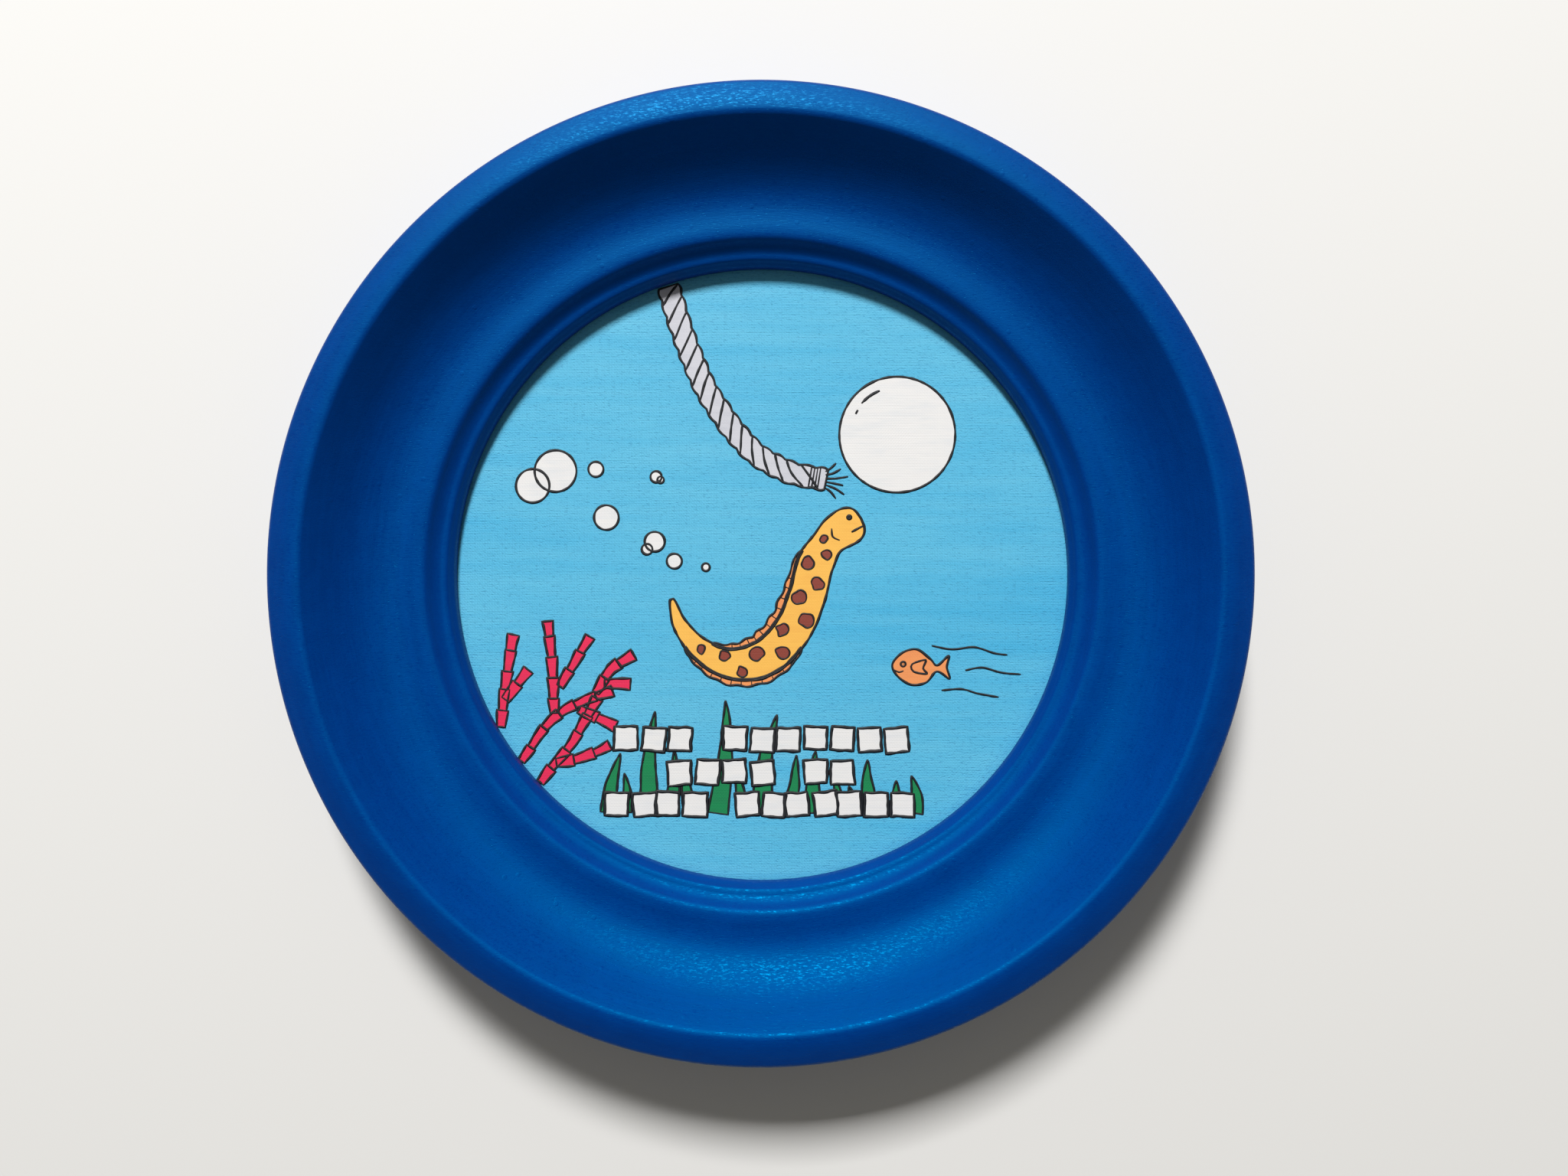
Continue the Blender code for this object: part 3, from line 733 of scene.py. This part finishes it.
eel = by_hand(band(eel_way, eel_half_width), 0.3)
high_side = beside(eel_way, eel_half_width)
low_side = beside(eel_way, lambda share: -eel_half_width(share))
fin_reach = {"back": (0.22, 0.80, 1.0, 2.6), "belly": (0.16, 0.52, -1.0, 2.1)}
fins = []
for first, last, side, height in fin_reach.values():
    start = round(first * len(eel_way))
    stop = round(last * len(eel_way))
    root = [(high_side if side > 0 else low_side)[index] for index in range(start, stop)]
    edge = beside(root, lambda share: side * height * math.sin(math.pi * share) ** 0.55
                  * (0.85 + 0.15 * math.cos(46.0 * share)))
    inside = beside(root, lambda share: -0.5 * side)
    fins.append(by_hand(edge + inside[::-1], 0.2))
    for share in [step / 14.0 for step in range(2, 13)]:
        index = round(share * (len(root) - 1))
        ink.append(([root[index], edge[index]], False, FINE_PEN))
blotches = []
for share, across, size in (
    (0.20, 0.0, 1.5), (0.28, 0.4, 1.9), (0.345, -0.45, 1.8), (0.40, 0.35, 2.4), (0.475, -0.35, 2.3),
    (0.53, 0.42, 2.3), (0.595, -0.4, 2.5), (0.655, 0.35, 2.4), (0.715, -0.38, 2.2), (0.775, 0.4, 2.1),
    (0.825, -0.35, 1.7), (0.865, 0.35, 1.4),
):
    index = round(share * (len(eel_way) - 1))
    flank = (high_side if across > 0 else low_side)[index]
    middle_x = eel_way[index][0] * (1 - abs(across)) + flank[0] * abs(across)
    middle_y = eel_way[index][1] * (1 - abs(across)) + flank[1] * abs(across)
    rim = []
    for step in range(9):
        angle = 2.0 * math.pi * step / 9.0
        reach = size * draw.uniform(0.75, 1.12)
        rim.append((middle_x + reach * math.cos(angle), middle_y + reach * math.sin(angle)))
    blotches.append(smooth_path(rim, closed=True, spacing=0.5))
paint_patches("eel_fins_orange", fins, LOW_COAT, orange_paint)
paint_patches("eel_yellow", [eel], MIDDLE_COAT, yellow_paint)
paint_patches("eel_blotches_brown", blotches, TOP_COAT, brown_paint)
ink += [(fin, True, FINE_PEN * 1.3) for fin in fins]
ink.append((eel, True, PEN_WIDTH * 0.85))
ink += [(blotch, True, FINE_PEN) for blotch in blotches]
upper_face = beside(eel_way, lambda share: 2.3)
lower_face = beside(eel_way, lambda share: -2.4)
ink.append((round_path(*upper_face[-9], 0.45), True, PEN_WIDTH * 1.3))
ink.append((by_hand(smooth_path([lower_face[-1], lower_face[-6], lower_face[-12]])), False, FINE_PEN * 1.3))
ink.append((by_hand(smooth_path([upper_face[-20], eel_way[-23], lower_face[-21]])), False, FINE_PEN * 1.2))

# The little fish: round and orange, swimming in from the right with three long ripples behind it.
fish_body = smooth_path([
    (43.2, -30.0), (46.5, -26.0), (51.5, -24.8), (56.0, -28.0), (58.2, -30.0), (62.0, -27.0), (61.2, -30.6),
    (62.2, -34.4), (58.0, -32.0), (54.5, -35.6), (49.5, -36.4), (45.0, -33.8),
], closed=True, spacing=0.5)
fish_fin = smooth_path([(50.0, -29.6), (54.4, -28.2), (53.6, -31.0), (54.8, -32.8), (50.4, -32.0)], closed=True)
paint_patches("little_fish_orange", [by_hand(fish_body, 0.3)], MIDDLE_COAT, orange_paint)
ink += [(by_hand(fish_body, 0.3), True, PEN_WIDTH * 0.8), (by_hand(fish_fin), True, FINE_PEN * 1.2)]
ink.append((round_path(46.9, -29.6, 0.8), True, FINE_PEN * 1.2))
ink.append(([(46.8, -29.6), (47.0, -29.5)], False, PEN_WIDTH))
ink.append((by_hand(smooth_path([(43.6, -31.6), (45.4, -32.4), (47.0, -31.9)])), False, FINE_PEN * 1.2))
for ripple in (
    [(56.5, -23.6), (63.0, -24.6), (70.0, -24.0), (76.0, -25.6), (81.5, -26.4)],
    [(67.5, -31.6), (73.0, -30.9), (79.5, -32.4), (86.0, -33.0)],
    [(59.5, -38.4), (66.0, -37.8), (72.0, -39.4), (78.5, -40.4)],
):
    ink.append((by_hand(smooth_path(ripple), 0.4), False, FINE_PEN * 1.15))

ink_lines("pen_lines", ink, TOP_INK, black_ink)


# ---- The boards behind the picture ------------------------------------------------------------
# The canvas is glued over a grey card board, with white paper pasted over the hem. A round of brown
# hardboard drops in behind them and closes the rabbet.
def dress(node, finish):
    """Give a fixed part its finish."""
    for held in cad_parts[node].material_slots:
        held.material = finish


def board_finish(name, light, dark, fibre_scale, roughness, relief):
    """Pressed board: short fibres lying every way, cloudy where they crowd, with a fine tooth."""
    material, shader, place = start_finish(name, roughness)
    fibres = place.stretched(fibre_scale, fibre_scale * 0.7, fibre_scale).noise(1.0, 3.0, 0.7)
    crossed = place.stretched(fibre_scale * 0.4, fibre_scale * 0.6, fibre_scale).noise(1.0, 3.0, 0.7)
    clouds = place.noise(22.0, 3.0, 0.55)
    flecks = place.stretched(fibre_scale * 0.5, fibre_scale * 0.5, fibre_scale).noise(1.0, 1.0, 0.5)
    tone = (fibres * 0.4 + crossed * 0.4 + clouds * 0.35).between(0.4, 0.75)
    board = tone.mixed(light, dark)
    feed(shader, "Base Color", (flecks.between(0.66, 0.72) * 0.6).mixed(board, dark))
    feed(shader, "Roughness", clouds * 0.15 + (roughness - 0.08))
    raise_surface(shader, fibres * 0.5 + crossed * 0.5, relief)
    return material


dress("panel_board", board_finish(
    "grey_card", colour(0.36, 0.35, 0.33), colour(0.24, 0.235, 0.22), 1500.0, 0.85, 0.00004
))
dress("panel_paper", board_finish(
    "white_paper", colour(0.80, 0.79, 0.76), colour(0.72, 0.71, 0.68), 2400.0, 0.8, 0.00001
))
dress("backing_board", board_finish(
    "brown_hardboard", colour(0.30, 0.165, 0.08), colour(0.17, 0.09, 0.045), 1100.0, 0.5, 0.00003
))


# ---- The turn buttons and their screws --------------------------------------------------------
# Four stamped steel tabs hold the hardboard in. Each swings on a cross-headed wood screw driven into
# the back of the ring. Tabs and screws are zinc plated and a little scratched from turning.
DIAGONALS = [math.radians(45.0 + 90.0 * quarter) for quarter in range(4)]
BUTTON_AXIS_RADIUS = 112.0
BUTTON_END = 4.6
BUTTON_TIP = 3.2
BUTTON_REACH = 17.2
BUTTON_HOLE = 1.8
BUTTON_EDGE = 0.25
HEAD_RADIUS = 3.0
HEAD_EDGE = 0.3
SHANK_RADIUS = 1.45
RECESS_HALF_LENGTH = 1.6
RECESS_WIDTH = 0.7
RECESS_DEPTH = 0.7
RECESS_TURN = math.radians(7.0)
SEATING_GAP = 0.05
TARNISH_SHADE = 0.45


def plated_finish(name, bright, dull, roughness, turned_marks):
    """Thin bright plating: soft patches, fine scratches, and a little tarnish in its hollows."""
    material, shader, place = start_finish(name, roughness)
    patches = place.noise(700.0, 3.0, 0.6)
    rubbed = place.stretched(500.0, 9000.0, 900.0).noise(1.0, 2.0, 0.6)
    rubbed_across = place.stretched(9000.0, 700.0, 900.0).noise(1.0, 2.0, 0.6)
    tarnish = place.noise(260.0, 4.0, 0.65).between(0.5, 0.75)
    metal = patches.between(0.35, 0.7).mixed(bright, dull)
    stain = colour(*(TARNISH_SHADE * part for part in dull[:3]))
    feed(shader, "Base Color", (tarnish * 0.5).mixed(metal, stain))
    feed(shader, "Metallic", tarnish * -0.25 + 1.0)
    feed(shader, "Roughness", patches * 0.16 + tarnish * 0.2 + rubbed * 0.1 + (roughness - 0.12))
    raise_surface(shader, rubbed * 0.5 + rubbed_across * turned_marks + patches * 0.4, 0.000012)
    return material


def arc(centre_x, radius, start, end, steps):
    """Points along an arc about a centre on the X axis, in millimetres."""
    angles = [start + (end - start) * step / steps for step in range(steps + 1)]
    return [(centre_x + radius * math.cos(angle), radius * math.sin(angle)) for angle in angles]


def bevel(piece, width, segments=2):
    """Round a piece's sharp edges."""
    rounding = piece.modifiers.new("rounded_edges", "BEVEL")
    rounding.width = width * MM
    rounding.segments = segments
    rounding.limit_method = "ANGLE"
    rounding.angle_limit = math.radians(50.0)
    bpy.ops.object.modifier_apply(modifier=rounding.name)


def stamp(name, outlines, low, high, edge):
    """A flat plate stamped out of sheet: the first outline is its rim and the others are holes."""
    shape = bpy.data.curves.new(name, "CURVE")
    shape.dimensions = "2D"
    shape.fill_mode = "BOTH"
    shape.extrude = (high - low) / 2.0 * MM
    for outline in outlines:
        add_line(shape, outline, True)
    bpy.ops.object.select_all(action="DESELECT")
    blank = bpy.data.objects.new(name, shape)
    bpy.context.scene.collection.objects.link(blank)
    blank.select_set(True)
    bpy.context.view_layer.objects.active = blank
    bpy.ops.object.convert(target="MESH")
    bpy.ops.object.mode_set(mode="EDIT")
    bpy.ops.mesh.select_all(action="SELECT")
    bpy.ops.mesh.remove_doubles(threshold=0.000001)
    bpy.ops.mesh.normals_make_consistent(inside=False)
    bpy.ops.object.mode_set(mode="OBJECT")
    plate = start_piece(name)
    bevel(plate, edge)
    bpy.ops.transform.translate(value=(0.0, 0.0, (low + high) / 2.0 * MM))
    bpy.ops.object.transform_apply(location=True, rotation=True, scale=True)
    return plate


def copy_to(piece, name, radius, angle, turn):
    """A copy with its own mesh, turned about its own Z axis and set at a place round the ring."""
    copied = piece.copy()
    copied.data = piece.data.copy()
    copied.name = name
    copied.data.name = name
    bpy.context.scene.collection.objects.link(copied)
    at = Matrix.Translation((radius * math.cos(angle) * MM, radius * math.sin(angle) * MM, 0.0))
    copied.data.transform(at @ Matrix.Rotation(turn, 4, "Z"))
    return copied


lean = math.asin((BUTTON_END - BUTTON_TIP) / BUTTON_REACH)
tangent = math.pi / 2.0 - lean
button_rim = arc(BUTTON_REACH, BUTTON_TIP, -tangent, tangent, 16)
button_rim += arc(0.0, BUTTON_END, tangent, 2.0 * math.pi - tangent, 28)
button_low, button_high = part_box("turn_button_1")
zinc = plated_finish("zinc_plating", colour(0.62, 0.63, 0.65), colour(0.46, 0.475, 0.50), 0.38, 0.3)
button = stamp(
    "turn_button", [button_rim, arc(0.0, BUTTON_HOLE, 0.0, 2.0 * math.pi * 23 / 24, 23)],
    button_low[2] / MM, button_high[2] / MM, BUTTON_EDGE,
)
bpy.ops.object.shade_smooth_by_angle(angle=math.radians(40.0))
button.data.materials.append(zinc)

screw_low, screw_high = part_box("turn_button_screw_1")
head_low = screw_low[2] / MM
head_high = button_low[2] / MM - SEATING_GAP
point = screw_high[2] / MM
screw_section = [(0.0, point), (0.5, point - 1.0), (SHANK_RADIUS, point - 2.5)]
screw_section += [(SHANK_RADIUS, head_high + 0.2)]
screw_section += run(screw_section[-1], -90, (SHANK_RADIUS + 0.2, head_high), -45, 2)
screw_section += [(HEAD_RADIUS - HEAD_EDGE, head_high)]
screw_section += run(screw_section[-1], 0, (HEAD_RADIUS, head_high - HEAD_EDGE), -90, 3)
screw_section += run(screw_section[-1], -90, (HEAD_RADIUS * 0.5, head_low), 180, 8)
screw_section += [(0.0, head_low)]
screw = turn_section("turn_button_screw", screw_section, 40, closed=False)
slots = []
for half_length, half_width in (
    (RECESS_HALF_LENGTH, RECESS_WIDTH / 2.0), (RECESS_WIDTH / 2.0, RECESS_HALF_LENGTH),
):
    bpy.ops.object.select_all(action="DESELECT")
    bpy.ops.mesh.primitive_cube_add(size=2.0 * MM, location=(0.0, 0.0, head_low * MM))
    slots.append(bpy.context.object)
    bpy.ops.transform.resize(value=(half_length, half_width, RECESS_DEPTH))
    bpy.ops.object.transform_apply(location=True, rotation=True, scale=True)
for slot in slots:
    cutting = screw.modifiers.new("recess", "BOOLEAN")
    cutting.object = slot
    cutting.operation = "DIFFERENCE"
    cutting.solver = "EXACT"
    bpy.context.view_layer.objects.active = screw
    bpy.ops.object.modifier_apply(modifier=cutting.name)
    bpy.data.objects.remove(slot)
bpy.ops.object.select_all(action="DESELECT")
screw.select_set(True)
bpy.ops.object.shade_smooth_by_angle(angle=math.radians(35.0))
screw.data.materials.clear()
screw.data.materials.append(zinc)

for number, angle in enumerate(DIAGONALS, 1):
    tab = copy_to(button, "turn_button_plated_%d" % number, BUTTON_AXIS_RADIUS, angle, angle + math.pi)
    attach(tab, "button_%d" % number)
    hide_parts("turn_button_%d" % number)
    name = "turn_button_screw_%d" % number
    fastening = copy_to(screw, name + "_plated", BUTTON_AXIS_RADIUS, angle, angle + RECESS_TURN)
    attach(fastening, "frame")
    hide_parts(name)
bpy.data.objects.remove(button)
bpy.data.objects.remove(screw)


# ---- The hanger and its nails -----------------------------------------------------------------
# A sawtooth hanger pressed from brass-plated steel strip: its middle is raised off the wood so that a
# wall nail can catch in the teeth. Two flat-headed nails hold its ends to the top of the back.
hanger_low, hanger_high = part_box("sawtooth_hanger")
HANGER_Y = (hanger_low[1] + hanger_high[1]) / 2.0 / MM
HANGER_HALF_WIDTH = (hanger_high[1] - hanger_low[1]) / 2.0 / MM
HANGER_HALF_LENGTH = hanger_high[0] / MM
HANGER_SHEET = 0.8
HANGER_BENDS = (14.9, 14.5, 14.0, 13.25, 12.5, 12.0, 11.6)
HANGER_CORNER = 1.2
TOOTH_COUNT = 9
TOOTH_PITCH = 2.4
TOOTH_DEPTH = 1.6
NAIL_X = 19.0
NAIL_HOLE = 1.0
brass = plated_finish("brass_plating", colour(0.66, 0.46, 0.19), colour(0.50, 0.33, 0.12), 0.36, 0.4)

strip_edge = -HANGER_HALF_WIDTH
half_teeth = TOOTH_COUNT * TOOTH_PITCH / 2.0
strip = [(-HANGER_HALF_LENGTH + HANGER_CORNER, strip_edge), (-half_teeth, strip_edge)]
for tooth in range(TOOTH_COUNT):
    x = -half_teeth + tooth * TOOTH_PITCH
    strip += [(x + TOOTH_PITCH * share, strip_edge + TOOTH_DEPTH) for share in (0.42, 0.58)]
    strip += [(x + TOOTH_PITCH * 0.92, strip_edge), (x + TOOTH_PITCH, strip_edge)]
for centre_x, centre_y, start in (
    (HANGER_HALF_LENGTH - HANGER_CORNER, strip_edge + HANGER_CORNER, -90),
    (HANGER_HALF_LENGTH - HANGER_CORNER, -strip_edge - HANGER_CORNER, 0),
    (-HANGER_HALF_LENGTH + HANGER_CORNER, -strip_edge - HANGER_CORNER, 90),
    (-HANGER_HALF_LENGTH + HANGER_CORNER, strip_edge + HANGER_CORNER, 180),
):
    turns = [math.radians(start + 22.5 * step) for step in range(5)]
    strip += [(centre_x + HANGER_CORNER * math.cos(a), centre_y + HANGER_CORNER * math.sin(a)) for a in turns]
nail_holes = [
    [(side * NAIL_X + x, y) for x, y in arc(0.0, NAIL_HOLE, 0.0, 2.0 * math.pi * 15 / 16, 15)] for side in (-1, 1)
]
flat_high = hanger_high[2] / MM + 0.2
hanger = stamp("sawtooth_hanger_plated", [strip] + nail_holes, flat_high - HANGER_SHEET, flat_high, 0.15)
bpy.ops.object.mode_set(mode="EDIT")
for x in [side * bend for bend in HANGER_BENDS for side in (-1, 1)]:
    bpy.ops.mesh.select_all(action="SELECT")
    bpy.ops.mesh.bisect(plane_co=(x * MM, 0.0, 0.0), plane_no=(1.0, 0.0, 0.0), threshold=0.000001)
bpy.ops.object.mode_set(mode="OBJECT")
drop = hanger_low[2] / MM - (flat_high - HANGER_SHEET)
for vertex in hanger.data.vertices:
    inwards = (HANGER_BENDS[0] - abs(vertex.co.x) / MM) / (HANGER_BENDS[0] - HANGER_BENDS[-1])
    share = min(1.0, max(0.0, inwards))
    vertex.co.z += drop * MM * share * share * (3.0 - 2.0 * share)
hanger.data.transform(Matrix.Translation((0.0, HANGER_Y * MM, 0.0)))
bpy.ops.object.shade_smooth_by_angle(angle=math.radians(35.0))
hanger.data.materials.append(brass)
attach(hanger, "frame")
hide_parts("sawtooth_hanger")

nail_low, nail_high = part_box("hanger_nail_left")
NAIL_HEAD = (nail_high[0] - nail_low[0]) / 2.0 / MM
NAIL_SHANK = 0.7
NAIL_POINT = 2.0
nail_head_low = nail_low[2] / MM
nail_head_high = flat_high - HANGER_SHEET - SEATING_GAP
nail_top = nail_high[2] / MM
nail_section = [(0.0, nail_top), (NAIL_SHANK, nail_top - NAIL_POINT)]
nail_section += [(NAIL_SHANK, nail_head_high + 0.15)]
nail_section += run(nail_section[-1], -90, (NAIL_SHANK + 0.15, nail_head_high), -45, 2)
nail_section += [(NAIL_HEAD - 0.2, nail_head_high)]
nail_section += run(nail_section[-1], 0, (NAIL_HEAD, nail_head_high - 0.25), -90, 3)
nail_section += run(nail_section[-1], -90, (NAIL_HEAD * 0.6, nail_head_low + 0.08), 200, 4)
nail_section += run(nail_section[-1], 180, (0.0, nail_head_low), 180, 3)
nail = turn_section("hanger_nail", nail_section, 24, closed=False)
bpy.ops.object.shade_smooth_by_angle(angle=math.radians(35.0))
nail.data.materials.append(brass)
for side, x in (("left", -NAIL_X), ("right", NAIL_X)):
    name = "hanger_nail_" + side
    driven = copy_to(nail, name + "_plated", math.hypot(x, HANGER_Y), math.atan2(HANGER_Y, x), 0.0)
    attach(driven, "frame")
    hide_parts(name)
bpy.data.objects.remove(nail)


# ---- The bumper pads --------------------------------------------------------------------------
# Four moulded rubber bumpers, stuck on near the outer edge of the back. They keep the frame off the
# wall, or off the table that it lies on.
PAD_RING_RADIUS = 143.0
PAD_TAPER = 0.5
PAD_ROUNDING = 0.9
pad_low, pad_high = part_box("bumper_pad_1")
PAD_RADIUS = (pad_high[0] - pad_low[0]) / 2.0 / MM
PAD_FOOT = pad_low[2] / MM
PAD_BACK = BACK_Z - SEATING_GAP


def rubber_finish():
    """Soft dark rubber from a mould: an even fine grain, a dusty bloom and lighter rubbed places."""
    material, shader, place = start_finish("moulded_rubber", 0.7)
    grain = place.noise(5200.0, 2.0, 0.6)
    bloom = place.noise(420.0, 3.0, 0.6)
    dust = place.noise(2100.0, 1.0, 0.5).between(0.64, 0.72)
    rubber = bloom.between(0.35, 0.75).mixed(colour(0.020, 0.020, 0.022), colour(0.040, 0.040, 0.042))
    feed(shader, "Base Color", (dust * 0.5).mixed(rubber, colour(0.14, 0.135, 0.125)))
    feed(shader, "Roughness", bloom * 0.2 + 0.58)
    raise_surface(shader, grain, 0.00002)
    return material


pad_section = [(0.0, PAD_BACK), (PAD_RADIUS - 0.3, PAD_BACK)]
pad_section += run(pad_section[-1], 0, (PAD_RADIUS, PAD_BACK - 0.3), -90, 3)
pad_section += [(PAD_RADIUS - PAD_TAPER, PAD_FOOT + PAD_ROUNDING)]
pad_section += run(pad_section[-1], -98, (PAD_RADIUS - PAD_TAPER - PAD_ROUNDING, PAD_FOOT), 180, 5)
pad_section += [(0.0, PAD_FOOT)]
pad = turn_section("bumper_pad", pad_section, 40, closed=False)
bpy.ops.object.shade_smooth_by_angle(angle=math.radians(35.0))
pad.data.materials.append(rubber_finish())
for number, angle in enumerate(DIAGONALS, 1):
    name = "bumper_pad_%d" % number
    stuck = copy_to(pad, name + "_rubber", PAD_RING_RADIUS, angle, 0.0)
    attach(stuck, "frame")
    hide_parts(name)
bpy.data.objects.remove(pad)
